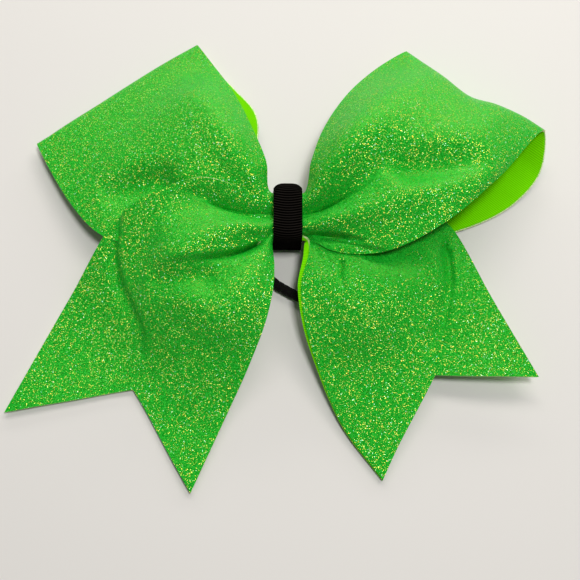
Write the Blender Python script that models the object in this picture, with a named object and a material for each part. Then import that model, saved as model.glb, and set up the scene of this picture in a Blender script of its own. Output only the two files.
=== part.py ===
"""A cheer hair bow, lying face up.

Three-inch glitter sheet lined with grosgrain is folded into two loops and two forked tails.
It is pinched in the middle, cinched with a zip tie that also holds a hair elastic, and
covered by a narrow grosgrain wrap.

The origin is on the wrap's flat back. +X runs across the two loops, +Y towards their tops
and +Z out of the bow's front. Lengths below are in millimetres.
"""

import math

import bmesh
import bpy
import numpy as np
from mathutils import Matrix, Vector

MM = 0.001

# Ribbon: glitter sheet outside, grosgrain inside, with room between them for the glue line.
GLITTER_THICK = 0.7
LINING_THICK = 0.4
LAYER_GAP = 0.3

# Pinched middle. Its three passes end just past the wrap, and the sides start beyond them.
PASS_END = 6.4
SIDE_START = 7.2
KNOT_Y = 1.35
PLEAT_HALF_SPAN = 8.7
FRONT_PASS_Z = 17.4
MIDDLE_PASS_Z = 13.6
REAR_PASS_Z = 9.8
PLEAT_DEPTH = 1.0

# Centre wrap: a folded grosgrain strip wound once round with its end lapped on the back.
WRAP_WIDTH = 11.0
WRAP_THICK = 0.9
WRAP_HALF_HEIGHT = 11.55
WRAP_FRONT = 21.6
WRAP_CORNER = 4.6
WRAP_LAP = 6.0
WRAP_CLEAR = 0.9

# Zip tie and hair elastic.
TIE_WIDTH = 2.6
TIE_THICK = 1.0
TIE_HALF_HEIGHT = 10.1
TIE_BACK = 2.4
TIE_FRONT = 20.3
TIE_CORNER = 2.5
TIE_HEAD_SIZE = (4.6, 4.6, 4.9)
TIE_HEAD_CENTRE = (0, 5.5, 5.4)
ELASTIC_DIAMETER = 4.0
ELASTIC_Y = -2.5
ELASTIC_Z = 5.9
SLEEVE_DIAMETER = 4.4
SLEEVE_LENGTH = 6.0
TOUCH_GAP = 0.3

# Hot glue: (centre, half sizes) of the dabs that hold the wrap and the elastic.
GLUE_DABS = {
    "front_glue_left": ((-3.4, KNOT_Y, 19.7), (1.5, 5, 0.6)),
    "front_glue_right": ((3.4, KNOT_Y, 19.7), (1.5, 5, 0.6)),
    "back_glue": ((0, -6.2, 5.8), (3, 1.25, 1.9)),
}

# Tails: how far back from their tips the fork and the bend lie, and the room at the bend.
LEFT_FORK = 27
LEFT_BEND = 33
RIGHT_FORK = 22
RIGHT_BEND = 28
TIP_GAP = 1.3

# Each side folds forward about a line beside the wrap, in front of the pinched ribbon.
SIDE_AXIS_X = 6.9
SIDE_AXIS_Z = 20.4

# Mesh fineness.
ACROSS_STEPS = 10
TAIL_STEPS = 12
TIP_STEPS = 5
LOOP_STEPS = 28
PASS_STEPS = 3
ELASTIC_POINTS = 64

# Each sheet hangs on six rails that run out from the pinch; a rail is a pleat's ridge or
# valley, or a cut edge. The shares are the rails' places across the ribbon.
RAIL_SHARES = (0.0, 0.2, 0.4, 0.6, 0.8, 1.0)

LEFT_TAIL = (
    ("upper edge", ((-6, 6, 17), (-18, 10, 21.5), (-33, 13, 24), (-50, 8, 21),
                    (-65, -1, 16), (-83.5, -29, 3), (-107, -74, 1.4))),
    ("upper valley", ((-6, 0, 16.4), (-18, 1, 18), (-31, 4, 20), (-46, -2, 20.5),
                      (-58, -17, 13), (-71, -40, 2.6), (-93, -80, 1.4))),
    ("middle ridge", ((-6, -4, 18.4), (-17, -5, 21.5), (-30, -9, 24.5), (-42, -19, 23.5),
                      (-51, -33, 14), (-60, -50, 3), (-78, -86, 1.4))),
    ("lower valley", ((-6, -7.2, 16.6), (-14, -11.2, 17), (-24, -19, 19), (-33, -32, 20),
                      (-40, -45, 12), (-48, -62, 3), (-64, -92, 1.4))),
    ("lower ridge", ((-6, -8.2, 17.8), (-9.5, -16, 19), (-15, -27, 20.5), (-21, -40, 18),
                     (-28, -54, 9.5), (-37, -72, 2.6), (-50, -98, 1.4))),
    ("lower edge", ((-6, -8.8, 16.6), (-5.4, -20, 17), (-5.8, -29, 17), (-8.5, -41, 14.5),
                    (-14, -55.5, 9), (-21, -71, 3.6), (-36, -104, 1.4))),
)

RIGHT_TAIL = (
    ("outer edge", ((6, 5, 13.4), (24, 8, 14), (42, 7, 14), (56, 3, 13.2),
                    (64.5, -4, 12), (79, -30, 9.5), (96, -60.5, 8))),
    ("upper ridge", ((6, 1.5, 14.3), (22, 1, 16), (38, -3, 18), (51, -10, 16.5),
                     (61, -22, 13), (71, -43, 8.3), (84, -68, 8.5))),
    ("upper valley", ((6, -2, 12.9), (19, -5, 15), (33, -12, 18.2), (44, -22, 17.5),
                      (53, -35, 12), (61, -53, 7.2), (72, -76, 8))),
    ("middle ridge", ((6, -4.5, 14.3), (16, -11, 15.5), (27, -21, 19), (36, -34, 17),
                      (44, -48, 9.5), (51, -64, 5.8), (60.5, -83.5, 6))),
    ("inner valley", ((6, -7, 12.9), (12, -16, 15), (19, -29, 18), (25, -43, 14.5),
                      (31, -57, 7.5), (39, -75, 4), (48.5, -91.5, 3.5))),
    ("inner edge", ((6, -8.5, 13), (7.5, -14.5, 14), (5.3, -27, 14.5), (7, -42, 12),
                    (12, -57.5, 7.5), (21, -78, 2.8), (36.5, -99, 1.5))),
)

LEFT_LOOP_FRONT = (
    ("upper edge", ((-6, 9.8, 13.4), (-8.8, 22, 17), (-14.6, 36, 16.5), (-22, 52, 13),
                    (-29.3, 64.5, 8), (-36.2, 75, 3.9))),
    ("upper ridge", ((-6, 7, 14.4), (-15, 17, 21), (-23, 31, 24.5), (-34, 48, 20),
                     (-42.5, 57.5, 10.5), (-49.3, 66.4, 3.9))),
    ("valley", ((-6, 4, 13), (-19, 11, 18.5), (-31, 22, 22), (-45, 38, 19),
                (-54, 49, 11), (-61.8, 57.8, 3.9))),
    ("middle ridge", ((-6, 0, 14.2), (-22, 5, 16.5), (-37, 13, 19.5), (-54, 27, 17),
                      (-65, 39, 10.5), (-74.2, 49.2, 3.9))),
    ("lower valley", ((-6, -4, 12.9), (-23, -1, 14.5), (-42, 4, 17), (-62, 15, 15),
                      (-75.5, 28.5, 9.5), (-86.7, 40.6, 3.9))),
    ("lower edge", ((-6, -8, 13.6), (-22, -9, 13), (-44, -9.5, 13.5), (-70, -7.5, 11),
                    (-86, 9, 7.5), (-99.2, 32, 3.9))),
)
LEFT_LOOP_BACK = (
    ((-34.2, 72, 2.2), (-97, 29, 2.2)),
    ((-21.5, 58, 2.8), (-83, 8, 1.8)),
    ((-12.2, 45, 5.4), (-58, -6, 1.9)),
    ((-11.5, 24, 8), (-28, -9, 5)),
)

RIGHT_LOOP_FRONT = (
    ("upper edge", ((6, 8.6, 17), (9.5, 21, 19), (14, 34, 18), (23.5, 50, 14.5),
                    (36, 63.5, 10), (48.5, 72.5, 7))),
    ("upper ridge", ((6, 5.5, 18.4), (15, 15, 26), (25, 28, 31.5), (38, 42, 29),
                     (51, 54, 22), (61, 60, 12))),
    ("valley", ((6, 0.8, 16.5), (16, 5, 20), (30, 15, 26), (46, 28, 30.5),
                (61, 40, 27), (71.5, 50, 15))),
    ("middle ridge", ((6, -3, 18.4), (18, -2, 23.5), (36, 3, 29), (54, 14, 32),
                      (71, 28, 30), (82, 46, 16))),
    ("lower valley", ((6, -6.3, 16.6), (17, -7.5, 20), (36, -6.5, 25), (57, 2, 28.5),
                      (77, 17, 27.5), (93, 42, 14))),
    ("lower edge", ((6, -7.6, 17), (17.7, -13.8, 18.5), (36, -15, 22), (58, -5, 26),
                    (80, 14, 24.5), (103, 37, 11))),
)
RIGHT_LOOP_BACK = (
    ((44, 70, 2.2), (103, 25, 4.5)),
    ((33, 58, 1.6), (93, 11.5, 1.6)),
    ((20, 40, 2.1), (66, -2, 1.6)),
    ((11, 23, 6), (30, -8, 5)),
)

# The loose part of the hair elastic: out of the wrap's left mouth, round under the right
# tail, and back in at the right mouth.
ELASTIC_ROUTE = (
    (-SLEEVE_LENGTH / 2 - TOUCH_GAP, ELASTIC_Y, ELASTIC_Z), (-5.6, ELASTIC_Y, ELASTIC_Z),
    (-8.4, -3.9, 5.3), (-9.4, -7.8, 3.6), (-9.3, -12, 2.5), (-8.9, -16, 2.3),
    (-7.6, -20, 2.3), (-4.9, -23, 2.3), (-0.2, -26, 2.3), (5.5, -29, 2.3),
    (14, -32.2, 2.3), (24, -33.8, 2.3), (33, -32, 2.3), (39.5, -26.5, 2.3), (40.5, -19.5, 2.3),
    (35, -14.4, 2.3), (26, -12.6, 2.3), (17, -10.6, 2.4), (11, -6.8, 3.6), (8.2, -3.8, 5.3),
    (5.6, ELASTIC_Y, ELASTIC_Z),
    (SLEEVE_LENGTH / 2 + TOUCH_GAP, ELASTIC_Y, ELASTIC_Z),
)

COLOURS = {
    "glitter": ((0.05, 0.42, 0.07), 0.45),
    "lining": ((0.17, 0.62, 0.01), 0.6),
    "wrap": ((0.012, 0.012, 0.013), 0.8),
    "elastic": ((0.01, 0.01, 0.011), 0.85),
    "tie": ((0.02, 0.02, 0.022), 0.45),
    "glue": ((0.75, 0.72, 0.6), 0.35),
    "sleeve": ((0.06, 0.06, 0.065), 0.4),
}


def material(kind):
    """One Principled material for each kind of stuff."""
    found = bpy.data.materials.get(kind)
    if found:
        return found
    colour, roughness = COLOURS[kind]
    made = bpy.data.materials.new(kind)
    made.use_nodes = True
    shader = made.node_tree.nodes["Principled BSDF"]
    shader.inputs["Base Color"].default_value = (*colour, 1.0)
    shader.inputs["Roughness"].default_value = roughness
    shader.inputs["Metallic"].default_value = 0.0
    made.diffuse_color = (*colour, 1.0)
    return made


def spline(points, knots, places):
    """Points at the given places of a smooth curve that meets each point at its knot."""
    points = np.asarray(points, float)
    knots = np.asarray(knots, float)
    steps = np.diff(knots)
    shape = (-1,) + (1,) * (points.ndim - 1)
    slopes = np.diff(points, axis=0) / steps.reshape(shape)
    tangents = np.empty_like(points)
    tangents[0], tangents[-1] = slopes[0], slopes[-1]
    share = (steps[1:] / (steps[1:] + steps[:-1])).reshape(shape)
    tangents[1:-1] = slopes[:-1] * share + slopes[1:] * (1 - share)
    places = np.clip(np.asarray(places, float), knots[0], knots[-1])
    i = np.clip(np.searchsorted(knots, places, side="right") - 1, 0, len(steps) - 1)
    h = steps[i].reshape(shape)
    t = ((places - knots[i]) / steps[i]).reshape(shape)
    return (
        points[i] * (2 * t**3 - 3 * t**2 + 1)
        + tangents[i] * h * (t**3 - 2 * t**2 + t)
        + points[i + 1] * (3 * t**2 - 2 * t**3)
        + tangents[i + 1] * h * (t**3 - t**2)
    )


class Sheet:
    """A smooth surface through stations of rail points, read by places along and across."""

    def __init__(self, stations):
        self.stations = np.asarray(stations, float)
        gaps = np.linalg.norm(np.diff(self.stations, axis=0), axis=2).mean(axis=1)
        self.knots = np.concatenate(([0.0], np.cumsum(gaps))) / gaps.sum()

    def point(self, along, across):
        """The points at matching arrays of along and across, each from 0 to 1."""
        along, across = np.broadcast_arrays(along, across)
        by_station = spline(np.eye(len(self.knots)), self.knots, along.ravel())
        by_rail = spline(np.eye(len(RAIL_SHARES)), RAIL_SHARES, across.ravel())
        found = np.einsum("ns,nr,srx->nx", by_station, by_rail, self.stations)
        return found.reshape(along.shape + (3,))

    def frames(self, along, across, side):
        """Points with unit normals, which side turns towards the glitter."""
        nudge = 0.002
        out = self.point(np.clip(along + nudge, 0, 1), across)
        out -= self.point(np.clip(along - nudge, 0, 1), across)
        over = self.point(along, np.clip(across + nudge, 0, 1))
        over -= self.point(along, np.clip(across - nudge, 0, 1))
        normal = np.cross(over, out) * side
        normal /= np.linalg.norm(normal, axis=-1, keepdims=True)
        return self.point(along, across), normal

    def along_at(self, measure, targets, across, span=(0.0, 1.0)):
        """For each place across, how far along the sheet its measure reaches a target."""
        tries = np.linspace(*span, 400)
        gone = measure(self.point(tries[:, None], np.asarray(across)[None, :]))
        return np.array([np.interp(t, column, tries) for t, column in zip(targets, gone.T)])


def by_station(rails):
    """The rails' points regrouped into stations across the ribbon."""
    return np.array([points for _, points in rails], float).transpose(1, 0, 2)


def pleats(x, height):
    """One pass's rail points across the pinch: its pleats' ridges and valleys."""
    spans = KNOT_Y + np.linspace(PLEAT_HALF_SPAN, -PLEAT_HALF_SPAN, len(RAIL_SHARES))
    lifts = [PLEAT_DEPTH / 2 * (-1) ** (i + 1) for i in range(len(RAIL_SHARES))]
    return [(x, y, height + lift) for y, lift in zip(spans, lifts)]


def loop_stations(front_rails, back_edges, x):
    """A loop's stations: out along the front, round the fold and back to the pinch."""
    shares = np.array(RAIL_SHARES)[:, None]
    back = [np.array(upper) * (1 - shares) + np.array(lower) * shares
            for upper, lower in back_edges]
    return np.concatenate((by_station(front_rails), back, [pleats(x, REAR_PASS_Z)]))


def add_object(name, bm, kind, smooth_angle=40):
    """Turn a bmesh in millimetres into a named object in metres."""
    bmesh.ops.recalc_face_normals(bm, faces=bm.faces)
    bmesh.ops.scale(bm, vec=(MM, MM, MM), verts=bm.verts)
    mesh = bpy.data.meshes.new(name)
    bm.to_mesh(mesh)
    bm.free()
    mesh.shade_smooth()
    mesh.set_sharp_from_angle(angle=math.radians(smooth_angle))
    mesh.materials.append(material(kind))
    made = bpy.data.objects.new(name, mesh)
    bpy.context.scene.collection.objects.link(made)
    return made


def add_slab(name, points, normals, inner, outer, kind):
    """A closed slab between two offsets from a grid of points."""
    bm = bmesh.new()
    rows, columns = points.shape[:2]
    low, high = (
        [[bm.verts.new(points[r, c] + normals[r, c] * offset) for c in range(columns)]
         for r in range(rows)]
        for offset in (inner, outer)
    )
    for r in range(rows - 1):
        for c in range(columns - 1):
            bm.faces.new((low[r][c], low[r + 1][c], low[r + 1][c + 1], low[r][c + 1]))
            bm.faces.new((high[r][c], high[r][c + 1], high[r + 1][c + 1], high[r + 1][c]))
    rim = [(0, c) for c in range(columns)]
    rim += [(r, columns - 1) for r in range(1, rows)]
    rim += [(rows - 1, c) for c in range(columns - 2, -1, -1)]
    rim += [(r, 0) for r in range(rows - 2, 0, -1)]
    for (r0, c0), (r1, c1) in zip(rim, rim[1:] + rim[:1]):
        bm.faces.new((low[r0][c0], low[r1][c1], high[r1][c1], high[r0][c0]))
    bmesh.ops.triangulate(bm, faces=bm.faces)
    return add_object(name, bm, kind)


def add_ribbon(name, sheet, along, across, side):
    """The glitter layer and the lining that make one stretch of ribbon."""
    points, normals = sheet.frames(along, across, side)
    half = LAYER_GAP / 2
    return (
        add_slab(name + "_glitter", points, normals, half, half + GLITTER_THICK, "glitter"),
        add_slab(name + "_lining", points, normals, -half - LINING_THICK, -half, "lining"),
    )


def between(first, last, steps):
    """Rows of places that run evenly from the first place to the last in each column."""
    shares = np.linspace(0, 1, steps + 1)[:, None]
    return first[None, :] * (1 - shares) + last[None, :] * shares


def across_places():
    """Even places across the ribbon, from its upper or outer edge."""
    return np.linspace(0, 1, ACROSS_STEPS + 1)


def clear_of_wrap(points):
    """How far points lie past the pinch, or past the wrap's top or bottom."""
    beside = np.abs(points[..., 0]) - SIDE_START
    beyond = np.abs(points[..., 1] - KNOT_Y) - WRAP_HALF_HEIGHT - WRAP_CLEAR
    return np.maximum(beside, beyond)


def add_tail(name, rails, sign, fork, bend):
    """A tail in two stretches, from the pinch to its bend and from there to its fork.

    fork and bend are measured back from the line through the two tips. The ends of the
    bend line are returned too.
    """
    sheet = Sheet(by_station(rails))
    tips = [np.array(rail[1][-1][:2], float) for rail in (rails[0], rails[-1])]
    run = np.array((tips[0][1] - tips[1][1], tips[1][0] - tips[0][0]))
    run *= np.sign(run @ tips[0]) / np.linalg.norm(run)
    reach = run @ tips[0]
    across = across_places()
    flat = np.ones_like(across)

    def along_run(distances):
        return sheet.along_at(lambda points: points[..., :2] @ run, distances, across)

    start = sheet.along_at(clear_of_wrap, 0 * flat, across, span=(0, 0.2))
    root_end = along_run((reach - bend - TIP_GAP / 2) * flat)
    tip_start = along_run((reach - bend + TIP_GAP / 2) * flat)
    tip_end = along_run(reach - fork * (1 - abs(2 * across - 1)))
    root = add_ribbon(name, sheet, between(start, root_end, TAIL_STEPS), across, sign)
    tip = add_ribbon(name + "_tip", sheet, between(tip_start, tip_end, TIP_STEPS), across, sign)
    bend_line = sheet.point((root_end + tip_start)[[0, -1]] / 2, across[[0, -1]])
    return root, tip, bend_line


def add_loop(name, front_rails, back_edges, sign):
    """A loop, from the pinch out along its front, round its fold and back behind."""
    sheet = Sheet(loop_stations(front_rails, back_edges, sign * PASS_END))
    backwards = Sheet(sheet.stations[::-1])
    across = across_places()
    flat = np.ones_like(across)
    start = sheet.along_at(clear_of_wrap, 0 * flat, across, span=(0, 0.1))
    end = 1 - backwards.along_at(clear_of_wrap, 0 * flat, across, span=(0, 0.1))
    return add_ribbon(name, sheet, between(start, end, LOOP_STEPS), across, sign)


def add_pass(name, height, side):
    """One pass of pleated ribbon through the pinch."""
    sheet = Sheet([pleats(x, height) for x in (-PASS_END, 0, PASS_END)])
    across = across_places()
    along = between(np.zeros_like(across), np.ones_like(across), PASS_STEPS)
    return add_ribbon(name, sheet, along, across, side)


def rounded_ring(half_height, back, front, corner, steps=6):
    """A closed outline in Y and Z round the knot: a box with round corners, from its back."""
    low, high = KNOT_Y - half_height + corner, KNOT_Y + half_height - corner
    centres = ((low, back + corner, 180), (high, back + corner, 270),
               (high, front - corner, 0), (low, front - corner, 90))
    outline = []
    for y, z, first in centres:
        for step in range(steps + 1):
            angle = math.radians(first + 90 * step / steps)
            outline.append((y + corner * math.cos(angle), z + corner * math.sin(angle)))
    return outline


def add_band(name, inner, outer, half_width, closed, kind):
    """A band across X between two matching outlines in Y and Z."""
    bm = bmesh.new()
    rings = [[bm.verts.new((x, y, z)) for x, (y, z) in
              ((-half_width, a), (half_width, a), (half_width, b), (-half_width, b))]
             for a, b in zip(inner, outer)]
    pairs = list(zip(rings, rings[1:]))
    if closed:
        pairs.append((rings[-1], rings[0]))
    else:
        bm.faces.new(rings[0])
        bm.faces.new(rings[-1][::-1])
    for here, there in pairs:
        for i in range(4):
            j = (i + 1) % 4
            bm.faces.new((here[i], there[i], there[j], here[j]))
    return add_object(name, bm, kind, 30)


def add_wrap():
    """The centre wrap, wound once round from its back and lapped on its own inner end."""
    outside = rounded_ring(WRAP_HALF_HEIGHT, 0, WRAP_FRONT, WRAP_CORNER)
    inside = rounded_ring(WRAP_HALF_HEIGHT - WRAP_THICK, WRAP_THICK, WRAP_FRONT - WRAP_THICK,
                          WRAP_CORNER - WRAP_THICK)
    first = len(outside) // 4
    lap = WRAP_THICK + TOUCH_GAP
    outer = [(-WRAP_LAP + 1, 0)] + outside[first:] + outside[:first]
    inner = [(-WRAP_LAP + 1, WRAP_THICK)] + inside[first:] + inside[:first]
    for y in (-WRAP_LAP, WRAP_LAP / 2):
        outer.append((y, lap))
        inner.append((y, lap + WRAP_THICK))
    return add_band("centre_wrap", inner, outer, WRAP_WIDTH / 2, False, "wrap")


def add_block(name, centre, size, bevel):
    """A box with bevelled edges."""
    bm = bmesh.new()
    bmesh.ops.create_cube(bm, size=1)
    bmesh.ops.scale(bm, vec=size, verts=bm.verts)
    bmesh.ops.bevel(bm, geom=bm.edges, offset=bevel, segments=2, affect="EDGES")
    bmesh.ops.translate(bm, vec=centre, verts=bm.verts)
    return add_object(name, bm, "tie")


def add_zip_tie():
    """The strap round the pinch and its locking head, moulded as one piece."""
    outer = rounded_ring(TIE_HALF_HEIGHT, TIE_BACK, TIE_FRONT, TIE_CORNER)
    inner = rounded_ring(TIE_HALF_HEIGHT - TIE_THICK, TIE_BACK + TIE_THICK,
                         TIE_FRONT - TIE_THICK, TIE_CORNER - TIE_THICK)
    strap = add_band("zip_tie", inner, outer, TIE_WIDTH / 2, True, "tie")
    head = add_block("zip_tie_head_shape", TIE_HEAD_CENTRE, TIE_HEAD_SIZE, 0.4)
    head.hide_render = True
    head.display_type = "WIRE"
    union = strap.modifiers.new("head", "BOOLEAN")
    union.operation = "UNION"
    union.object = head
    return strap


def add_elastic():
    """The hair elastic as a cord along its route, and the sleeve that joins its ends."""
    route = np.array(ELASTIC_ROUTE)
    knots = np.concatenate(([0.0], np.cumsum(np.linalg.norm(np.diff(route, axis=0), axis=1))))
    points = spline(route, knots, np.linspace(0, knots[-1], ELASTIC_POINTS)) * MM
    curve = bpy.data.curves.new("hair_elastic", "CURVE")
    curve.dimensions = "3D"
    curve.bevel_depth = ELASTIC_DIAMETER / 2 * MM
    curve.bevel_resolution = 2
    curve.use_fill_caps = True
    line = curve.splines.new("POLY")
    line.points.add(len(points) - 1)
    for slot, point in zip(line.points, points):
        slot.co = (*point, 1)
    curve.materials.append(material("elastic"))
    cord = bpy.data.objects.new("hair_elastic", curve)
    bpy.context.scene.collection.objects.link(cord)

    bm = bmesh.new()
    bmesh.ops.create_cone(bm, cap_ends=True, segments=16, radius1=SLEEVE_DIAMETER / 2,
                          radius2=SLEEVE_DIAMETER / 2, depth=SLEEVE_LENGTH,
                          matrix=Matrix.Rotation(math.radians(90), 4, "Y"))
    bmesh.ops.translate(bm, vec=(0, ELASTIC_Y, ELASTIC_Z), verts=bm.verts)
    return cord, add_object("elastic_sleeve", bm, "sleeve")


def add_glue(name, centre, half_sizes):
    """A rounded dab of hot glue."""
    bm = bmesh.new()
    bmesh.ops.create_icosphere(bm, subdivisions=2, radius=1)
    bmesh.ops.scale(bm, vec=half_sizes, verts=bm.verts)
    bmesh.ops.translate(bm, vec=centre, verts=bm.verts)
    return add_object(name, bm, "glue")


def hang(pieces, name, place, direction, parent=None):
    """Parent pieces to an empty on their joint's line, with its X axis along the line."""
    empty = bpy.data.objects.new(name, None)
    empty.empty_display_size = 5 * MM
    bpy.context.scene.collection.objects.link(empty)
    turn = Vector(direction).to_track_quat("X", "Z").to_matrix().to_4x4()
    world = Matrix.Translation(Vector(place) * MM) @ turn
    empty.matrix_world = world
    if parent:
        empty.parent = parent
        empty.matrix_parent_inverse = parent.matrix_world.inverted()
        empty.matrix_basis = world
    bpy.context.view_layer.update()
    for piece in pieces:
        piece.parent = empty
        piece.matrix_parent_inverse = empty.matrix_world.inverted()
    return empty


def main():
    """Model the bow: the pinched middle, then each side with its tip, then the elastic."""
    for old in list(bpy.data.objects):
        bpy.data.objects.remove(old)
    add_pass("front_pass", FRONT_PASS_Z, 1)
    add_pass("middle_pass", MIDDLE_PASS_Z, 1)
    add_pass("rear_pass", REAR_PASS_Z, -1)
    add_zip_tie()
    for name, (centre, half_sizes) in GLUE_DABS.items():
        add_glue(name, centre, half_sizes)
    add_wrap()

    sides = (
        ("left", -1, LEFT_TAIL, LEFT_FORK, LEFT_BEND, LEFT_LOOP_FRONT, LEFT_LOOP_BACK),
        ("right", 1, RIGHT_TAIL, RIGHT_FORK, RIGHT_BEND, RIGHT_LOOP_FRONT, RIGHT_LOOP_BACK),
    )
    for name, sign, tail, fork, bend, front, back in sides:
        loop = add_loop(name + "_loop", front, back, sign)
        root, tip, bend_line = add_tail(name + "_tail", tail, sign, fork, bend)
        side_axis = hang(loop + root, name + "_side_axis",
                         (sign * SIDE_AXIS_X, 0, SIDE_AXIS_Z), (0, 1, 0))
        hang(tip, name + "_tip_axis", bend_line.mean(axis=0),
             bend_line[1] - bend_line[0], side_axis)

    hang(add_elastic(), "elastic_axis", (0, ELASTIC_Y, ELASTIC_Z), (1, 0, 0))


main()
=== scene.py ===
"""The looks of a cheer hair bow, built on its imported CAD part.

Four stretches of glitter ribbon lined with lime grosgrain run out from under a black wrap: a
tail and a loop on each side. Each is a fine mesh on the rails of its CAD solid, which differ
only beside the knot, on the right tail's inner edge, by up to 1.6 mm.
Lengths are in millimetres, unless a name or comment says metres.
"""

import math

import bmesh
import bpy
import numpy as np
from mathutils import Matrix, Vector


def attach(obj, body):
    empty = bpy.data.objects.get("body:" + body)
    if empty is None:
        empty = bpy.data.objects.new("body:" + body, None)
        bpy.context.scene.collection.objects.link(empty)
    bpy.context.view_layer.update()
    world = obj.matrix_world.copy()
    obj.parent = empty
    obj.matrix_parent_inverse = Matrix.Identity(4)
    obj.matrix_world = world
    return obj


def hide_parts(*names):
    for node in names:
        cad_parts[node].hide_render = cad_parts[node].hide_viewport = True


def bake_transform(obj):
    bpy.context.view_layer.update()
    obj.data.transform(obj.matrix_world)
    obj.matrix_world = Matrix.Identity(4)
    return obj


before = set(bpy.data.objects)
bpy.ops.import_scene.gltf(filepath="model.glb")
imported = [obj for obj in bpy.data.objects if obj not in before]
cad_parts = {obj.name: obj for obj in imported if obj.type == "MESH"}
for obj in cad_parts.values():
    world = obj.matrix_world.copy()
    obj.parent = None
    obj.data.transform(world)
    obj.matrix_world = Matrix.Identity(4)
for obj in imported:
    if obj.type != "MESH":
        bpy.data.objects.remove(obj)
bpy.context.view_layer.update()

MM = 0.001

# Camera, above the bow and a little towards its tails.
CAMERA_PLACE = (-11.0, -113.3, 400.0)
CAMERA_AIM = (1.4, -25.3, 0.0)
CAMERA_FOV = 31.16
SENSOR_WIDTH = 36.0

# Ribbon. Offsets are from the surface where the glitter sheet and its lining meet. Creases stop
# that share of the way along a loop, before its fold.
RIBBON_WIDTH = 76.2
GLITTER_OUT = 0.8
LINING_IN = -0.5
LINING_INSET = 0.45
LAYER_GAP = 0.02
LOOP_CREASED = 0.4

# Pinched middle.
PASS_END = 6.4
KNOT_Y = 1.35
PLEAT_HALF_SPAN = 8.7
FRONT_PASS_Z = 17.4
MIDDLE_PASS_Z = 13.6
REAR_PASS_Z = 9.8
PLEAT_DEPTH = 1.0

# Centre wrap.
WRAP_WIDTH = 11.0
WRAP_THICK = 0.9
WRAP_HALF_HEIGHT = 11.55
WRAP_FRONT = 21.6
WRAP_CORNER = 4.6
WRAP_LAP = 6.0

# Hair elastic and its sleeve.
ELASTIC_DIAMETER = 4.0
ELASTIC_Y = -2.5
ELASTIC_Z = 5.9
SLEEVE_LENGTH = 6.0
TOUCH_GAP = 0.3

# Tails: how far back from their tips the fork and the bend lie.
LEFT_FORK = 27
LEFT_BEND = 33
RIGHT_FORK = 22
RIGHT_BEND = 28
BEND_ROOM = 8.0

# Mesh fineness: the ribbon's cells along and across it.
CELL_ALONG = 1.0
CELLS_ACROSS = 96

# Each sheet hangs on six rails that run out from the pinch; a rail is a pleat's ridge or
# valley, or a cut edge. The shares are the rails' places across the ribbon.
RAIL_SHARES = (0.0, 0.2, 0.4, 0.6, 0.8, 1.0)

LEFT_TAIL = (
    ("upper edge", ((-6, 6, 17), (-18, 10, 21.5), (-33, 13, 24), (-50, 8, 21),
                    (-65, -1, 16), (-83.5, -29, 3), (-107, -74, 1.4))),
    ("upper valley", ((-6, 0, 16.4), (-18, 1, 18), (-31, 4, 20), (-46, -2, 20.5),
                      (-58, -17, 13), (-71, -40, 2.6), (-93, -80, 1.4))),
    ("middle ridge", ((-6, -4, 18.4), (-17, -5, 21.5), (-30, -9, 24.5), (-42, -19, 23.5),
                      (-51, -33, 14), (-60, -50, 3), (-78, -86, 1.4))),
    ("lower valley", ((-6, -7.2, 16.6), (-14, -11.2, 17), (-24, -19, 19), (-33, -32, 20),
                      (-40, -45, 12), (-48, -62, 3), (-64, -92, 1.4))),
    ("lower ridge", ((-6, -8.2, 17.8), (-9.5, -16, 19), (-15, -27, 20.5), (-21, -40, 18),
                     (-28, -54, 9.5), (-37, -72, 2.6), (-50, -98, 1.4))),
    ("lower edge", ((-6, -8.8, 16.6), (-5.4, -20, 17), (-5.8, -29, 17), (-8.5, -41, 14.5),
                    (-14, -55.5, 9), (-21, -71, 3.6), (-36, -104, 1.4))),
)

RIGHT_TAIL = (
    ("outer edge", ((6, 5, 13.4), (24, 8, 14), (42, 7, 14), (56, 3, 13.2),
                    (64.5, -4, 12), (79, -30, 9.5), (96, -60.5, 8))),
    ("upper ridge", ((6, 1.5, 14.3), (22, 1, 16), (38, -3, 18), (51, -10, 16.5),
                     (61, -22, 13), (71, -43, 8.3), (84, -68, 8.5))),
    ("upper valley", ((6, -2, 12.9), (19, -5, 15), (33, -12, 18.2), (44, -22, 17.5),
                      (53, -35, 12), (61, -53, 7.2), (72, -76, 8))),
    ("middle ridge", ((6, -4.5, 14.3), (16, -11, 15.5), (27, -21, 19), (36, -34, 17),
                      (44, -48, 9.5), (51, -64, 5.8), (60.5, -83.5, 6))),
    ("inner valley", ((6, -6.2, 12.9), (12, -15.5, 15), (19, -29, 18), (25, -43, 14.5),
                      (31, -57, 7.5), (39, -75, 4), (48.5, -91.5, 3.5))),
    ("inner edge", ((6, -7.6, 14), (8.2, -13.5, 15), (5.3, -27, 14.5), (7, -42, 12),
                    (12, -57.5, 7.5), (21, -78, 2.8), (36.5, -99, 1.5))),
)

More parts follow.
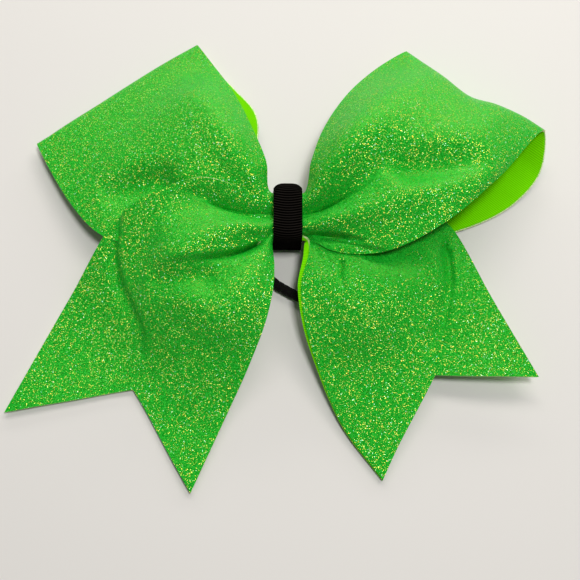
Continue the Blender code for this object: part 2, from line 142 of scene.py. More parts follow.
LEFT_LOOP_FRONT = (
    ("upper edge", ((-6, 9.8, 13.4), (-8.8, 22, 17), (-14.6, 36, 16.5), (-22, 52, 13),
                    (-29.3, 64.5, 8), (-36.2, 75, 3.9))),
    ("upper ridge", ((-6, 7, 14.4), (-15, 17, 21), (-23, 31, 24.5), (-34, 48, 20),
                     (-42.5, 57.5, 10.5), (-49.3, 66.4, 3.9))),
    ("valley", ((-6, 4, 13), (-19, 11, 18.5), (-31, 22, 22), (-45, 38, 19),
                (-54, 49, 11), (-61.8, 57.8, 3.9))),
    ("middle ridge", ((-6, 0, 14.2), (-22, 5, 16.5), (-37, 13, 19.5), (-54, 27, 17),
                      (-65, 39, 10.5), (-74.2, 49.2, 3.9))),
    ("lower valley", ((-6, -4, 12.9), (-23, -1, 14.5), (-42, 4, 17), (-62, 15, 15),
                      (-75.5, 28.5, 9.5), (-86.7, 40.6, 3.9))),
    ("lower edge", ((-6, -8, 13.6), (-22, -9, 13), (-44, -9.5, 13.5), (-70, -7.5, 11),
                    (-86, 9, 7.5), (-99.2, 32, 3.9))),
)
LEFT_LOOP_BACK = (
    ((-34.2, 72, 2.2), (-97, 29, 2.2)),
    ((-21.5, 58, 2.8), (-83, 8, 1.8)),
    ((-12.2, 45, 5.4), (-58, -6, 1.9)),
    ((-11.5, 24, 8), (-28, -9, 5)),
)

RIGHT_LOOP_FRONT = (
    ("upper edge", ((6, 8.6, 17), (9.5, 21, 19), (14, 34, 18), (23.5, 50, 14.5),
                    (36, 63.5, 10), (48.5, 72.5, 7))),
    ("upper ridge", ((6, 5.5, 18.4), (15, 15, 26), (25, 28, 31.5), (38, 42, 29),
                     (51, 54, 22), (61, 60, 12))),
    ("valley", ((6, 0.8, 16.5), (16, 5, 20), (30, 15, 26), (46, 28, 30.5),
                (61, 40, 27), (71.5, 50, 15))),
    ("middle ridge", ((6, -3, 18.4), (18, -2, 23.5), (36, 3, 29), (54, 14, 32),
                      (71, 28, 30), (82, 46, 16))),
    ("lower valley", ((6, -6.3, 16.6), (17, -7.5, 20), (36, -6.5, 25), (57, 2, 28.5),
                      (77, 17, 27.5), (93, 42, 14))),
    ("lower edge", ((6, -7.6, 17), (17.7, -13.8, 18.5), (36, -15, 22), (58, -5, 26),
                    (80, 14, 24.5), (103, 37, 11))),
)
RIGHT_LOOP_BACK = (
    ((44, 70, 2.2), (103, 25, 4.5)),
    ((33, 58, 1.6), (93, 11.5, 1.6)),
    ((20, 40, 2.1), (66, -2, 1.6)),
    ((11, 23, 6), (30, -8, 5)),
)

# The loose part of the hair elastic: out of the wrap's left mouth, round under the right
# tail, and back in at the right mouth.
ELASTIC_ROUTE = (
    (-SLEEVE_LENGTH / 2 - TOUCH_GAP, ELASTIC_Y, ELASTIC_Z), (-5.6, ELASTIC_Y, ELASTIC_Z),
    (-8.4, -3.9, 5.3), (-9.4, -7.8, 3.6), (-9.3, -12, 2.5), (-8.9, -16, 2.3),
    (-7.6, -20, 2.3), (-4.9, -23, 2.3), (-0.2, -26, 2.3), (5.5, -29, 2.3),
    (14, -32.2, 2.3), (24, -33.8, 2.3), (33, -32, 2.3), (39.5, -26.5, 2.3), (40.5, -19.5, 2.3),
    (35, -14.4, 2.3), (26, -12.6, 2.3), (17, -10.6, 2.4), (11, -6.8, 3.6), (8.2, -3.8, 5.3),
    (5.6, ELASTIC_Y, ELASTIC_Z),
    (SLEEVE_LENGTH / 2 + TOUCH_GAP, ELASTIC_Y, ELASTIC_Z),
)

# Creases and dents. Each is a line in X and Y that fades as it goes, then how deep it is, and
# how wide on its upper side and on its lower side. On a line that runs down the bow, those are
# its right and left sides if it ends further right than it starts, or else its left and right.
LEFT_TAIL_CREASES = (
    (((-5, -0.4), (-15.2, 0), (-24, 1.8), (-31.5, 5), (-40, 8)), 2.6, 3.2, 0.7),
    (((-5, -0.4), (-15.2, 0), (-24, 1.8), (-31.5, 5)), 3.6, 0.8, 0.4),
    (((-12, -11.3), (-16.5, -13.4), (-23.7, -15.8), (-35, -18.4), (-48, -20)), 2.6, 0.6, 2.0),
    (((-12, -11.3), (-16.5, -13.4), (-23.7, -15.8), (-33, -18)), 3.2, 0.8, 0.4),
    (((-33, -24), (-43, -25), (-53, -25)), 4.5, 5.0, 6.0),
    (((-64, 1), (-66, -14), (-64, -24), (-60, -32), (-55.5, -41), (-54.5, -55)), 2.6, 1.0, 3.5),
)
LEFT_LOOP_CREASES = (
    (((-49, 13), (-59, 11.5), (-73, 7)), 5.5, 6.0, 7.0),
)
RIGHT_LOOP_CREASES = (
    (((5, -0.8), (12, 1.2), (19, 4.4), (30, 10.8), (37, 20)), 2.8, 3.4, 0.7),
    (((5, -0.8), (12, 1.2), (19, 4.4), (27, 9)), 3.6, 0.8, 0.4),
    (((46, 14.5), (60, 16.5), (76, 21)), 6.5, 8.0, 5.0),
    (((9, -8), (16, -9.6), (24, -12), (34, -16)), 1.4, 0.8, 20.0),
    (((7, -7.4), (13, -7.4), (19, -8.2), (25, -9.6), (31, -11.8)), 2.4, 0.6, 2.5),
    (((7, -7.4), (13, -7.4), (19, -8.2), (24, -9.4)), 3.4, 0.8, 0.4),
)
RIGHT_TAIL_CREASES = (
    (((36, -14), (46, -17), (56, -17)), 2.2, 4.0, 6.0),
    (((20.5, -18.5), (20, -24), (21, -29)), 1.6, 0.8, 0.8),
    (((62, -12), (63.3, -25), (60.6, -39), (52.5, -54)), 2.6, 3.5, 1.0),
)

# Glitter flakes: how many to a millimetre, the share that are foil, and how far they lean.
FLAKES_PER_MM = 4.4
FOIL_SHARE = 0.085
DULL_LEAN = 0.5
FOIL_EXTRA_LEAN = 0.9

# How far the lining shows past the glitter on the right tail's inner edge, at each depth below
# the knot.
OVERHANG_AT = (8, 14, 30, 50, 70)
OVERHANG = (1.6, 2.1, 1.3, 0.8, 0.4)

# Ribs of the lining and the wrap, the wrap's rounded front, and the braid of the elastic.
LIME_RIB = 0.75
THREAD_PITCH = 0.35
WRAP_RIB = 1.0
RIB_CELL = 0.14
RIB_HEIGHT = 0.14
RIB_ARCH = 0.9
FRONT_CROWN = 0.5
TOP_CROWN = 1.9
CROWN_FROM_Z = 6.0
CROWN_OVER_Z = 8.0
TOP_FROM_Y = 6.0
TOP_OVER_Y = 5.0
WRAP_CELLS_ACROSS = 24
ELASTIC_CELL = 0.35
ELASTIC_SIDES = 32
BRAID_PITCH = 2.6
BRAID_STARTS = 4
BRAID_DEPTH = 0.12

FLOOR_Z = -0.1
FLOOR_REACH_M = 3.0
DAYLIGHT = (1.0, 0.97, 0.92)


def spline(points, knots, places):
    """Points at the given places of a smooth curve that meets each point at its knot."""
    points = np.asarray(points, float)
    knots = np.asarray(knots, float)
    steps = np.diff(knots)
    shape = (-1,) + (1,) * (points.ndim - 1)
    slopes = np.diff(points, axis=0) / steps.reshape(shape)
    tangents = np.empty_like(points)
    tangents[0], tangents[-1] = slopes[0], slopes[-1]
    share = (steps[1:] / (steps[1:] + steps[:-1])).reshape(shape)
    tangents[1:-1] = slopes[:-1] * share + slopes[1:] * (1 - share)
    places = np.clip(np.asarray(places, float), knots[0], knots[-1])
    i = np.clip(np.searchsorted(knots, places, side="right") - 1, 0, len(steps) - 1)
    h = steps[i].reshape(shape)
    t = ((places - knots[i]) / steps[i]).reshape(shape)
    return (
        points[i] * (2 * t**3 - 3 * t**2 + 1)
        + tangents[i] * h * (t**3 - 2 * t**2 + t)
        + points[i + 1] * (3 * t**2 - 2 * t**3)
        + tangents[i + 1] * h * (t**3 - t**2)
    )


class Sheet:
    """A smooth surface through stations of rail points, read by places along and across."""

    def __init__(self, stations):
        self.stations = np.asarray(stations, float)
        gaps = np.linalg.norm(np.diff(self.stations, axis=0), axis=2).mean(axis=1)
        self.length = gaps.sum()
        self.knots = np.concatenate(([0.0], np.cumsum(gaps))) / self.length

    def point(self, along, across):
        """The points at matching arrays of along and across, each from 0 to 1."""
        along, across = np.broadcast_arrays(along, across)
        by_station = spline(np.eye(len(self.knots)), self.knots, along.ravel())
        by_rail = spline(np.eye(len(RAIL_SHARES)), RAIL_SHARES, across.ravel())
        found = np.einsum("ns,nr,srx->nx", by_station, by_rail, self.stations)
        return found.reshape(along.shape + (3,))

    def frames(self, along, across, side):
        """Points with unit normals, which side turns towards the glitter."""
        nudge = 0.002
        out = self.point(np.clip(along + nudge, 0, 1), across)
        out -= self.point(np.clip(along - nudge, 0, 1), across)
        over = self.point(along, np.clip(across + nudge, 0, 1))
        over -= self.point(along, np.clip(across - nudge, 0, 1))
        normal = np.cross(over, out) * side
        normal /= np.linalg.norm(normal, axis=-1, keepdims=True)
        return self.point(along, across), normal

    def along_at(self, measure, targets, across, span=(0.0, 1.0)):
        """For each place across, how far along the sheet its measure reaches a target."""
        tries = np.linspace(*span, 400)
        gone = measure(self.point(tries[:, None], np.asarray(across)[None, :]))
        return np.array([np.interp(t, column, tries) for t, column in zip(targets, gone.T)])


def by_station(rails):
    """The rails' points regrouped into stations across the ribbon."""
    return np.array([points for _, points in rails], float).transpose(1, 0, 2)


def pleats(x, height):
    """One pass's rail points across the pinch: its pleats' ridges and valleys."""
    spans = KNOT_Y + np.linspace(PLEAT_HALF_SPAN, -PLEAT_HALF_SPAN, len(RAIL_SHARES))
    lifts = [PLEAT_DEPTH / 2 * (-1) ** (i + 1) for i in range(len(RAIL_SHARES))]
    return [(x, y, height + lift) for y, lift in zip(spans, lifts)]


def loop_stations(front_rails, back_edges, x):
    """A loop's stations: out along the front, round the fold and back to the pinch."""
    shares = np.array(RAIL_SHARES)[:, None]
    back = [np.array(upper) * (1 - shares) + np.array(lower) * shares
            for upper, lower in back_edges]
    return np.concatenate((by_station(front_rails), back, [pleats(x, REAR_PASS_Z)]))


# ---------------------------------------------------------------- materials


class Nodes:
    """A short way to add nodes to one material and join them."""

    def __init__(self, name):
        self.material = bpy.data.materials.new(name)
        self.material.use_nodes = True
        self.tree = self.material.node_tree
        self.shader = self.tree.nodes["Principled BSDF"]

    def add(self, kind, inputs=(), **settings):
        """A node of this kind, with some settings and inputs (values or other sockets)."""
        node = self.tree.nodes.new("ShaderNode" + kind)
        for key, value in settings.items():
            setattr(node, key, value)
        for key, value in dict(inputs).items():
            self.put(node.inputs[key], value)
        return node

    def put(self, socket, value):
        """Set a socket, or link it when the value is itself a socket."""
        if isinstance(value, bpy.types.NodeSocket):
            self.tree.links.new(value, socket)
        else:
            socket.default_value = value

    def math(self, operation, *values):
        """The result of a math node."""
        node = self.add("Math", operation=operation)
        for socket, value in zip(node.inputs, values):
            self.put(socket, value)
        return node.outputs[0]

    def ramp(self, factor, stops):
        """A colour ramp's result for stops of (place, colour)."""
        node = self.add("ValToRGB", {"Fac": factor})
        elements = node.color_ramp.elements
        while len(elements) < len(stops):
            elements.new(0.5)
        for element, (place, colour) in zip(elements, stops):
            element.position = place
            element.color = (*colour, 1)
        return node.outputs["Color"]

    def mix(self, factor, first, second):
        """Two colours mixed by a factor."""
        node = self.add("Mix", data_type="RGBA")
        self.put(node.inputs["Factor"], factor)
        self.put(node.inputs["A"], first)
        self.put(node.inputs["B"], second)
        return node.outputs["Result"]

    def surface(self, **inputs):
        """Set the shader's inputs, with spaces in their names written as underscores."""
        for key, value in inputs.items():
            self.put(self.shader.inputs[key.replace("_", " ")], value)
        return self.material


def place_in_mm(nodes):
    """Where a point is on its piece, in millimetres."""
    coordinates = nodes.add("TexCoord").outputs["Object"]
    scale = nodes.add("VectorMath", {0: coordinates}, operation="SCALE")
    nodes.put(scale.inputs["Scale"], 1 / MM)
    return scale.outputs["Vector"]


def glitter_material():
    """Tiny flakes, each tilted its own way: most are dull and green, and a few are gold foil."""
    nodes = Nodes("glitter")
    place = place_in_mm(nodes)
    flakes = nodes.add("TexVoronoi", {"Vector": place, "Scale": FLAKES_PER_MM}, feature="F1")
    shade, kind, tone = nodes.add("SeparateColor", {"Color": flakes.outputs["Color"]}).outputs
    green = nodes.ramp(shade, (
        (0.0, (0.001, 0.26, 0.008)), (0.45, (0.004, 0.40, 0.020)),
        (0.8, (0.014, 0.50, 0.030)), (1.0, (0.045, 0.60, 0.045))))
    gold = nodes.ramp(tone, (
        (0.0, (0.90, 0.80, 0.10)), (0.5, (0.60, 0.85, 0.15)), (0.85, (0.95, 0.62, 0.08)),
        (0.95, (0.30, 0.85, 0.60)), (1.0, (0.85, 0.90, 0.70))))
    foil = nodes.math("GREATER_THAN", kind, 1 - FOIL_SHARE)
    colour = nodes.mix(foil, green, gold)
    glint = nodes.ramp(tone, (
        (0.0, (1.0, 0.95, 0.15)), (0.5, (0.75, 1.0, 0.25)), (0.8, (1.0, 0.80, 0.12)),
        (0.94, (0.35, 1.0, 0.55)), (1.0, (0.9, 1.0, 0.8))))
    tilt = nodes.add("VectorMath", {0: flakes.outputs["Color"], 1: (0.5, 0.5, 0.5)},
                     operation="SUBTRACT")
    lean = nodes.add("VectorMath", {0: tilt.outputs["Vector"]}, operation="SCALE")
    nodes.put(lean.inputs["Scale"],
              nodes.math("MULTIPLY_ADD", foil, FOIL_EXTRA_LEAN, DULL_LEAN))
    normal = nodes.add("NewGeometry").outputs["Normal"]
    tilted = nodes.add("VectorMath", {0: lean.outputs["Vector"], 1: normal}, operation="ADD")
    facing = nodes.add("VectorMath", {0: tilted.outputs["Vector"]}, operation="NORMALIZE")
    grain = nodes.add("Bump", {
        "Height": flakes.outputs["Distance"], "Normal": facing.outputs["Vector"],
        "Strength": 0.3, "Distance": 0.0001})
    dull = nodes.math("MULTIPLY_ADD", shade, 0.2, 0.26)
    rough = nodes.math("MULTIPLY_ADD", foil, -0.06, dull)
    return nodes.surface(Base_Color=colour, Metallic=foil, Roughness=rough,
                         Specular_IOR_Level=0.5, Specular_Tint=glint,
                         Normal=grain.outputs["Normal"])


def rib_height(nodes, run, pitch):
    """A height from 0 to 1 that ribs across the ribbon at this pitch."""
    turn = nodes.math("MULTIPLY", run, 2 * math.pi / pitch)
    return nodes.math("MULTIPLY_ADD", nodes.math("SINE", turn), 0.5, 0.5)


def grosgrain_material(name, valley, ridge, crown, pitch, gloss):
    """Ribs across the ribbon, with fine threads along it.

    crown is how far up a rib, from 0 to 1, its colour starts to change. valley is a painted shade
    in the hollows between ribs, and ridge is a painted highlight on their tops.
    """
    nodes = Nodes(name)
    across, run, _ = nodes.add("SeparateXYZ", {
        "Vector": nodes.add("UVMap").outputs["UV"]}).outputs
    ribs = rib_height(nodes, run, pitch)
    threads = rib_height(nodes, across, THREAD_PITCH)
    height = nodes.math("MULTIPLY_ADD", threads, 0.25, ribs)
    cloud = nodes.add("TexNoise", {"Vector": place_in_mm(nodes), "Scale": 0.15, "Detail": 4.0})
    mottle = nodes.math("MULTIPLY_ADD", cloud.outputs["Fac"], 0.3, -0.15)
    # Painted shade in the rib hollows and painted highlight on the rib tops, with a random mottle
    # of tone.
    colour = nodes.ramp(nodes.math("ADD", ribs, mottle), ((crown, valley), (1.0, ridge)))
    bump = nodes.add("Bump", {"Height": height, "Strength": 0.8, "Distance": 0.00012})
    rough = nodes.math("MULTIPLY_ADD", ribs, -0.12, 0.7)
    return nodes.surface(Base_Color=colour, Roughness=rough, Normal=bump.outputs["Normal"],
                         Specular_IOR_Level=gloss)


def edge_material():
    """The cut edge of the glitter sheet: pale canvas with green flakes caught in it."""
    nodes = Nodes("cut_edge")
    noise = nodes.add("TexNoise", {"Vector": place_in_mm(nodes), "Scale": 1.6, "Detail": 3.0})
    colour = nodes.ramp(noise.outputs["Fac"], (
        (0.35, (0.30, 0.66, 0.14)), (0.5, (0.70, 0.80, 0.38)), (0.7, (0.92, 0.88, 0.66))))
    bump = nodes.add("Bump", {"Height": noise.outputs["Fac"], "Strength": 0.6,
                              "Distance": 0.0002})
    return nodes.surface(Base_Color=colour, Roughness=0.8, Normal=bump.outputs["Normal"])


def elastic_material():
    """A black braid over rubber, with painted shade in the grooves between its strands and a
    painted highlight on their tops.
    """
    nodes = Nodes("elastic_braid")
    across, run, _ = nodes.add("SeparateXYZ", {
        "Vector": nodes.add("UVMap").outputs["UV"]}).outputs
    first = rib_height(nodes, nodes.math("ADD", run, across), 0.9)
    second = rib_height(nodes, nodes.math("SUBTRACT", run, across), 0.9)
    height = nodes.math("MAXIMUM", first, second)
    # Painted shade in the braid's grooves and painted highlight on its strands' tops.
    colour = nodes.ramp(height, ((0.0, (0.001, 0.001, 0.001)), (1.0, (0.008, 0.007, 0.007))))
    bump = nodes.add("Bump", {"Height": height, "Strength": 0.9, "Distance": 0.0002})
    rough = nodes.math("MULTIPLY_ADD", height, -0.15, 0.75)
    return nodes.surface(Base_Color=colour, Roughness=rough, Normal=bump.outputs["Normal"],
                         Specular_IOR_Level=0.12, Sheen_Weight=0.01, Sheen_Roughness=0.5)


def plain_material(name, dark, light, scale, roughness, bump_depth):
    """A moulded or poured surface with slight colour and roughness variation."""
    nodes = Nodes(name)
    noise = nodes.add("TexNoise", {"Vector": place_in_mm(nodes), "Scale": scale, "Detail": 5.0})
    colour = nodes.ramp(noise.outputs["Fac"], ((0.3, dark), (0.7, light)))
    bump = nodes.add("Bump", {"Height": noise.outputs["Fac"], "Strength": 0.5,
                              "Distance": bump_depth})
    rough = nodes.math("MULTIPLY_ADD", noise.outputs["Fac"], 0.2, roughness - 0.1)
    return nodes.surface(Base_Color=colour, Roughness=rough, Normal=bump.outputs["Normal"])


GLITTER = glitter_material()
EDGE = edge_material()
# In each lining and wrap colour pair, the first is a painted shade for the rib hollows and the
# second a painted highlight for the rib tops.
LIME = grosgrain_material("lime_grosgrain", (0.13, 0.58, 0.0), (0.20, 0.80, 0.0), 0.0,
                          LIME_RIB, 0.06)
BLACK = grosgrain_material("black_grosgrain", (0.0010, 0.0008, 0.0006),
                           (0.016, 0.013, 0.011), 0.7, WRAP_RIB, 0.01)
BRAID = elastic_material()
NYLON = plain_material("black_nylon", (0.012, 0.012, 0.013), (0.03, 0.03, 0.032), 0.8, 0.4, 0.00005)
SLEEVE = plain_material("sleeve", (0.03, 0.03, 0.032), (0.06, 0.06, 0.062), 1.2, 0.4, 0.00003)
GLUE = plain_material("hot_glue", (0.60, 0.56, 0.42), (0.80, 0.77, 0.65), 0.5, 0.3, 0.0002)


# ---------------------------------------------------------------- meshes


def finish_mesh(name, points, faces, uvs, looks, counts):
    """An object from points in millimetres, with a UV map in millimetres at each point.

    Each look covers the matching count of faces, in order.
    """
    mesh = bpy.data.meshes.new(name)
    mesh.from_pydata(np.asarray(points) * MM, [], faces)
    used = list(dict.fromkeys(looks))
    for look in used:
        mesh.materials.append(look)
    slots = np.repeat([used.index(look) for look in looks], counts).astype(np.int32)
    mesh.polygons.foreach_set("material_index", slots)
    corners = np.zeros(len(mesh.loops), np.int32)
    mesh.loops.foreach_get("vertex_index", corners)
    layer = mesh.uv_layers.new(name="UVMap")
    layer.data.foreach_set("uv", np.asarray(uvs, np.float32)[corners].ravel())
    bm = bmesh.new()
    bm.from_mesh(mesh)
    bmesh.ops.recalc_face_normals(bm, faces=bm.faces)
    bm.to_mesh(mesh)
    bm.free()
    mesh.shade_smooth()
    mesh.set_sharp_from_angle(angle=math.radians(50))
    made = bpy.data.objects.new(name, mesh)
    bpy.context.scene.collection.objects.link(made)
    return made


def slab(name, low, high, uvs, looks):
    """A closed slab between two grids of points. Looks are for its low side, high side and rim."""
    rows, columns = low.shape[:2]
    count = rows * columns
    index = np.arange(count).reshape(rows, columns)
    a, b, c, d = index[:-1, :-1], index[1:, :-1], index[1:, 1:], index[:-1, 1:]
    under = np.stack((a, b, c, d), -1).reshape(-1, 4)
    over = np.stack((a, d, c, b), -1).reshape(-1, 4) + count
    rim = np.concatenate((index[0, :-1], index[:-1, -1], index[-1, :0:-1], index[:0:-1, 0]))
    following = np.roll(rim, -1)
    sides = np.stack((rim, following, following + count, rim + count), -1)
    faces = np.concatenate((under, over, sides)).tolist()
    points = np.concatenate((low.reshape(-1, 3), high.reshape(-1, 3)))
    both = np.tile(uvs.reshape(-1, 2), (2, 1))
    return finish_mesh(name, points, faces, both, looks, (len(under), len(over), len(sides)))


def between(first, last, steps):
    """Rows of places that run evenly from the first place to the last in each column."""
    shares = np.linspace(0, 1, steps + 1)[:, None]
    return first[None, :] * (1 - shares) + last[None, :] * shares


def crease(points, creases):
    """How far each point sinks into the pleats' folds, given as lines in X and Y."""
    sunk = np.zeros(points.shape[:-1])
    for line, depth, width_above, width_below in creases:
        line = np.array(line, float)
        outward = np.sign(line[-1, 0] - line[0, 0])
        near = np.full(sunk.shape, 1e9)
        gone = np.zeros(sunk.shape)
        pieces = len(line) - 1
        for i in range(pieces):
            start, step = line[i], line[i + 1] - line[i]
            share = np.clip(((points[..., :2] - start) @ step) / (step @ step), 0, 1)
            away = points[..., :2] - start - share[..., None] * step
            above = outward * (step[0] * away[..., 1] - step[1] * away[..., 0]) > 0
            gap = np.linalg.norm(away, axis=-1) / np.where(above, width_above, width_below)
            closer = gap < near
            near = np.where(closer, gap, near)
            gone = np.where(closer, (i + share) / pieces, gone)
        fade = 1 - gone**3
        sunk += depth * fade * np.exp(-(near**2))
    return sunk


def ribbon(name, sheet, along, side, creases=(), front_only=1.0, overhang=None):
    """The glitter layer and the lining of one stretch of ribbon.

    front_only is how far along the sheet its creases may reach.
    """
    across = np.linspace(0, 1, along.shape[1])
    points, normals = sheet.frames(along, across[None, :] + 0 * along, side)
    points[..., 2] -= crease(points, creases) * (along < front_only)
    run = along * sheet.length
    uvs = np.stack(np.broadcast_arrays(across[None, :] * RIBBON_WIDTH, run), -1)
    half = LAYER_GAP / 2
    glitter = slab(name + "_glitter_ribbon", points + normals * half,
                   points + normals * GLITTER_OUT, uvs, (EDGE, GLITTER, EDGE))
    base = points.copy()
    for rim, inward in ((0, 1), (-1, -2)):
        edge = points[:, rim] - points[:, inward]
        edge /= np.linalg.norm(edge, axis=-1, keepdims=True)
        wider = -LINING_INSET * np.ones(len(points))
        if overhang is not None and rim == -1:
            wider = overhang(points[:, rim])
        base[:, rim] += edge * wider[:, None]
    lining = slab(name + "_lining_ribbon", base + normals * LINING_IN, base - normals * half,
                  uvs, (LIME,) * 3)
    return glitter, lining


def lime_overhang(points):
    """How much wider the lining is than the glitter along the edge beside the elastic."""
    return np.interp(-points[:, 1], OVERHANG_AT, OVERHANG)


def tail_rows(sheet, rails, fork, bend):
    """Where a tail's two pieces start and end, at each place across, and its bend's middle.

    fork and bend are measured back from the line through the two tips.
    """
    tips = [np.array(rail[1][-1][:2], float) for rail in (rails[0], rails[-1])]
    run = np.array((tips[0][1] - tips[1][1], tips[1][0] - tips[0][0]))
    run *= np.sign(run @ tips[0]) / np.linalg.norm(run)
    reach = run @ tips[0]
    across = np.linspace(0, 1, CELLS_ACROSS + 1)
    flat = np.ones_like(across)

    def along_run(distances):
        return sheet.along_at(lambda points: points[..., :2] @ run, distances, across)

    seam = along_run((reach - bend - BEND_ROOM) * flat)
    end = along_run(reach - fork * (1 - abs(2 * across - 1)))
    at_bend = along_run((reach - bend) * flat)
    middle = sheet.point(at_bend[[0, -1]], across[[0, -1]]).mean(axis=0)
    return 0 * flat, seam, end, middle, np.array((*run, 0))


def add_tail(side_name, rails, sign, height, fork, bend, creases=(), overhang=None):
    """A tail's pieces: one from the knot to near its bend, one from there to its tips."""
    stations = np.concatenate(([pleats(0, height)], by_station(rails)))
    sheet = Sheet(stations)
    start, seam, end, middle, run = tail_rows(sheet, rails, fork, bend)
    root_rows = between(start, seam, round(sheet.length * seam.mean() / CELL_ALONG))
    tip_rows = between(seam, end, round(sheet.length * (end - seam).mean() / CELL_ALONG))
    name = side_name + "_tail"
    root = ribbon(name, sheet, root_rows, sign, creases, overhang=overhang)
    tip = ribbon(name + "_tip", sheet, tip_rows, sign, creases, overhang=overhang)
    for piece, layer in zip(tip, ("glitter", "lining")):
        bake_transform(piece)
        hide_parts(f"{name}_tip_{layer}")
    return root, tip


def blend_side(pieces):
    """Bake each piece's placement into its mesh."""
    for piece in pieces:
        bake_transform(piece)


def add_loop(side_name, front_rails, back_edges, sign, height, creases=()):
    """A loop, from under the wrap out along its front, round its fold and back under."""
    inside = pleats(0, height)
    around = loop_stations(front_rails, back_edges, sign * PASS_END)
    sheet = Sheet(np.concatenate(([inside], around, [pleats(0, REAR_PASS_Z)])))
    flat = np.ones(CELLS_ACROSS + 1)
    rows = between(0 * flat, flat, round(sheet.length / CELL_ALONG))
    return ribbon(side_name + "_loop", sheet, rows, sign, creases, LOOP_CREASED)


# ---------------------------------------------------------------- wrap and elastic


def rounded_ring(half_height, back, front, corner, steps=10):
    """A closed outline in Y and Z round the knot: a box with round corners, from its back."""
    low, high = KNOT_Y - half_height + corner, KNOT_Y + half_height - corner
    centres = ((low, back + corner, 180), (high, back + corner, 270),
               (high, front - corner, 0), (low, front - corner, 90))
    outline = []
    for y, z, first in centres:
        for step in range(steps + 1):
            angle = math.radians(first + 90 * step / steps)
            outline.append((y + corner * math.cos(angle), z + corner * math.sin(angle)))
    return outline


def add_wrap():
    """The wrap as one strip wound round and lapped on its back, with ribs across it."""
    ring = np.array(rounded_ring(WRAP_HALF_HEIGHT, 0, WRAP_FRONT, WRAP_CORNER))
    quarter = len(ring) // 4
    path = np.concatenate(([(-WRAP_LAP + 1, 0)], ring[quarter:], ring[:quarter]))
    lap = WRAP_THICK + TOUCH_GAP
    path = np.concatenate((path, [(-WRAP_LAP, lap), (WRAP_LAP / 2, lap)]))
    gone = np.concatenate(([0], np.cumsum(np.linalg.norm(np.diff(path, axis=0), axis=1))))
    steps = int(gone[-1] / RIB_CELL)
    places = np.linspace(0, gone[-1], steps)
    spots = np.stack([np.interp(places, gone, path[:, i]) for i in (0, 1)], -1)
    heading = np.gradient(spots, axis=0)
    heading /= np.linalg.norm(heading, axis=1, keepdims=True)
    outward = np.stack((heading[:, 1], -heading[:, 0]), -1)
    x = np.linspace(-1, 1, WRAP_CELLS_ACROSS + 1)
    arch = RIB_ARCH * (1 - x**2)
    run = places[:, None] - arch[None, :]
    ribs = RIB_HEIGHT * np.sin(2 * math.pi * run / WRAP_RIB)
    in_front = np.clip((spots[:, 1] - CROWN_FROM_Z) / CROWN_OVER_Z, 0, 1)
    above = np.clip((spots[:, 0] - TOP_FROM_Y) / TOP_OVER_Y, 0, 1)
    droop = (FRONT_CROWN + (TOP_CROWN - FRONT_CROWN) * above) * in_front
    crown = -droop[:, None] * x[None, :] ** 4
    rise = ribs - RIB_HEIGHT + crown
    grid = np.zeros((steps, len(x), 3))
    grid[..., 0] = x * WRAP_WIDTH / 2
    outer, inner = grid.copy(), grid.copy()
    for axis in (1, 2):
        outer[..., axis] = spots[:, None, axis - 1] + outward[:, None, axis - 1] * rise
        inner[..., axis] = (spots - outward * WRAP_THICK)[:, None, axis - 1]
        inner[..., axis] += outward[:, None, axis - 1] * crown
    uvs = np.stack(np.broadcast_arrays(x * WRAP_WIDTH / 2, run), -1)
    wrap = slab("wrap_ribbon", inner, outer, uvs, (BLACK,) * 3)
    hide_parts("centre_wrap")
    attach(wrap, "knot")


def add_elastic():
    """The hair elastic as a braided tube along its route."""
    route = np.array(ELASTIC_ROUTE)
    knots = np.concatenate(([0.0], np.cumsum(np.linalg.norm(np.diff(route, axis=0), axis=1))))
    count = round(knots[-1] / ELASTIC_CELL)
    places = np.linspace(0, knots[-1], count)
    centres = spline(route, knots, places)
    heading = np.gradient(centres, axis=0)
    heading /= np.linalg.norm(heading, axis=1, keepdims=True)
    aside = np.cross(heading, (0, 0, 1))
    aside /= np.linalg.norm(aside, axis=1, keepdims=True)
    up = np.cross(aside, heading)
    turn = np.linspace(0, 2 * math.pi, ELASTIC_SIDES + 1)
    strand = 2 * math.pi / BRAID_PITCH
    ahead, round_it = places[:, None] * strand, turn[None, :] * BRAID_STARTS
    braid = np.maximum(np.sin(ahead + round_it), np.sin(ahead - round_it))
    radius = ELASTIC_DIAMETER / 2 - BRAID_DEPTH * (1 - braid)
    rings = centres[:, None] + radius[..., None] * (
        aside[:, None] * np.cos(turn)[None, :, None] + up[:, None] * np.sin(turn)[None, :, None])
    rows, columns = rings.shape[0], ELASTIC_SIDES
    points = rings[:, :-1].reshape(-1, 3)
    index = np.arange(rows * columns).reshape(rows, columns)
    following = np.roll(index, -1, axis=1)
    quads = np.stack((index[:-1], following[:-1], following[1:], index[1:]), -1).reshape(-1, 4)
    faces = quads.tolist() + [index[0].tolist(), index[-1].tolist()]
    girth = math.pi * ELASTIC_DIAMETER
    uvs = np.stack(np.broadcast_arrays(turn[None, :-1] / (2 * math.pi) * girth,
                                       places[:, None]), -1).reshape(-1, 2)
    tube = finish_mesh("braided_elastic", points, faces, uvs, (BRAID,), (len(faces),))
    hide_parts("hair_elastic")
    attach(tube, "elastic")


# ---------------------------------------------------------------- scene


def add_camera():
    """The camera, looking down at the bow with +Y up in the frame."""
    data = bpy.data.cameras.new("camera")
    data.sensor_width = SENSOR_WIDTH
    data.lens = SENSOR_WIDTH / 2 / math.tan(math.radians(CAMERA_FOV / 2))
    data.clip_start = 0.01
    camera = bpy.data.objects.new("camera", data)
    camera.location = Vector(CAMERA_PLACE) * MM
    forward = (Vector(CAMERA_AIM) - Vector(CAMERA_PLACE)).normalized()
    right = forward.cross(Vector((0, 1, 0))).normalized()
    turn = Matrix((right, right.cross(forward), -forward)).transposed()
    camera.rotation_mode = "QUATERNION"
    camera.rotation_quaternion = turn.to_quaternion()
    bpy.context.scene.collection.objects.link(camera)
    bpy.context.scene.camera = camera


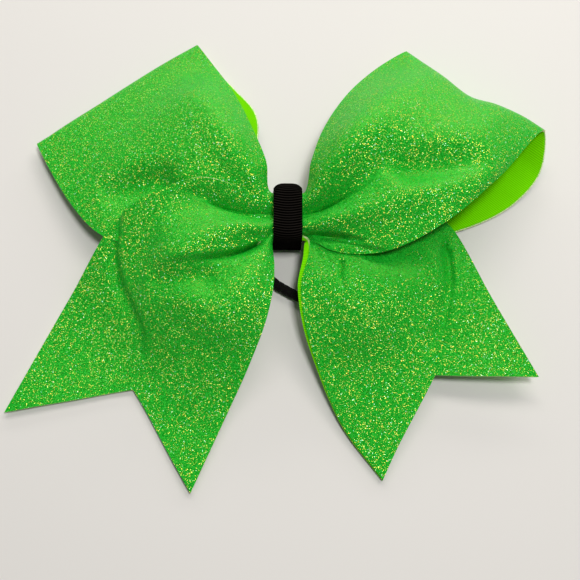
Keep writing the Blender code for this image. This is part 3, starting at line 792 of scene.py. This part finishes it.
def add_floor():
    """A plain pale floor just under the bow."""
    mesh = bpy.data.meshes.new("floor")
    reach, z = FLOOR_REACH_M, FLOOR_Z * MM
    mesh.from_pydata([(-reach, -reach, z), (reach, -reach, z), (reach, reach, z),
                      (-reach, reach, z)], [], [(0, 1, 2, 3)])
    nodes = Nodes("pale_floor")
    noise = nodes.add("TexNoise", {"Scale": 30.0})
    rough = nodes.math("MULTIPLY_ADD", noise.outputs["Fac"], 0.1, 0.7)
    mesh.materials.append(nodes.surface(Base_Color=(0.72, 0.70, 0.67, 1), Roughness=rough))
    floor = bpy.data.objects.new("floor", mesh)
    bpy.context.scene.collection.objects.link(floor)


def add_light(name, place, width, height, power, colour=(1, 1, 1)):
    """A soft oblong light aimed at the origin. Its place and sizes are in metres."""
    data = bpy.data.lights.new(name, "AREA")
    data.shape = "RECTANGLE"
    data.size = width
    data.size_y = height
    data.energy = power
    data.color = colour
    light = bpy.data.objects.new(name, data)
    light.location = place
    light.rotation_mode = "QUATERNION"
    light.rotation_quaternion = (-Vector(place)).to_track_quat("-Z", "Y")
    bpy.context.scene.collection.objects.link(light)
    return light


def add_world(colour, strength):
    """An even pale surrounding."""
    world = bpy.data.worlds.new("studio")
    world.use_nodes = True
    background = world.node_tree.nodes["Background"]
    background.inputs["Color"].default_value = (*colour, 1)
    background.inputs["Strength"].default_value = strength
    bpy.context.scene.world = world


add_camera()
add_elastic()

SIDES = (
    ("left", -1, LEFT_TAIL, FRONT_PASS_Z, LEFT_FORK, LEFT_BEND, LEFT_TAIL_CREASES, None,
     LEFT_LOOP_FRONT, LEFT_LOOP_BACK, MIDDLE_PASS_Z, LEFT_LOOP_CREASES),
    ("right", 1, RIGHT_TAIL, MIDDLE_PASS_Z, RIGHT_FORK, RIGHT_BEND, RIGHT_TAIL_CREASES,
     lime_overhang, RIGHT_LOOP_FRONT, RIGHT_LOOP_BACK, FRONT_PASS_Z, RIGHT_LOOP_CREASES),
)
for (side, sign, tail, tail_z, fork, bend, tail_creases, overhang,
     front, back, loop_z, loop_creases) in SIDES:
    root, tip = add_tail(side, tail, sign, tail_z, fork, bend, tail_creases, overhang)
    loop = add_loop(side, front, back, sign, loop_z, loop_creases)
    blend_side(root + loop)
    for layer in (0, 1):
        kind = ("glitter", "lining")[layer]
        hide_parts(f"{side}_tail_{kind}")
        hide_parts(f"{side}_loop_{kind}")
        tail_pass = "front" if side == "left" else "middle"
        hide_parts(f"{tail_pass}_pass_{kind}")
        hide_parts(f"rear_pass_{kind}")
add_wrap()

for node, look in (("zip_tie", NYLON), ("elastic_sleeve", SLEEVE), ("front_glue_left", GLUE),
                   ("front_glue_right", GLUE), ("back_glue", GLUE)):
    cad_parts[node].data.materials.clear()
    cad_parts[node].data.materials.append(look)

add_floor()
add_light("overhead", (0.15, 0.04, 1.0), 0.2, 0.2, 5.8).visible_glossy = False
add_light("window", (0.20, 0.80, 0.85), 1.4, 0.3, 8.5, DAYLIGHT)
add_light("sky", (0.10, 1.00, 0.35), 1.8, 0.15, 4.6, DAYLIGHT)
add_world((1.0, 1.0, 1.0), 0.13)
bpy.context.scene.view_settings.view_transform = "Standard"
